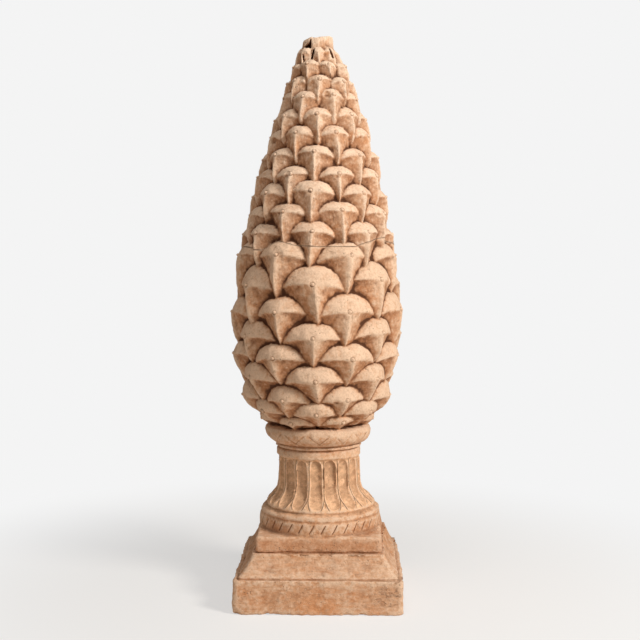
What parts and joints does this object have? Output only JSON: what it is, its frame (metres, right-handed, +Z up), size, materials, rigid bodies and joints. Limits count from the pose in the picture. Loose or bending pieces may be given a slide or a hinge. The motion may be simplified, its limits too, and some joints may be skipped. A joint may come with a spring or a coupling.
{
  "type": "pinecone finial",
  "caption": "Tall terracotta pinecone finial: square moulded plinth, fluted round socle and a cone of keeled, overlapping scales with a worn, broken tip.",
  "frame": {"origin": "middle of the plinth's flat underside", "axes": "+Z up the finial's axis, -Y towards the front face of the plinth, +X to the right seen from the front"},
  "size_m": [0.313, 0.3138, 1.02],
  "materials": {
    "lower_terracotta": "matt, unglazed, weathered",
    "upper_terracotta": "matt, unglazed, weathered"
  },
  "bodies": {
    "root": {"lower_section": "lower_terracotta", "upper_section": "upper_terracotta"}
  },
  "joints": []
}
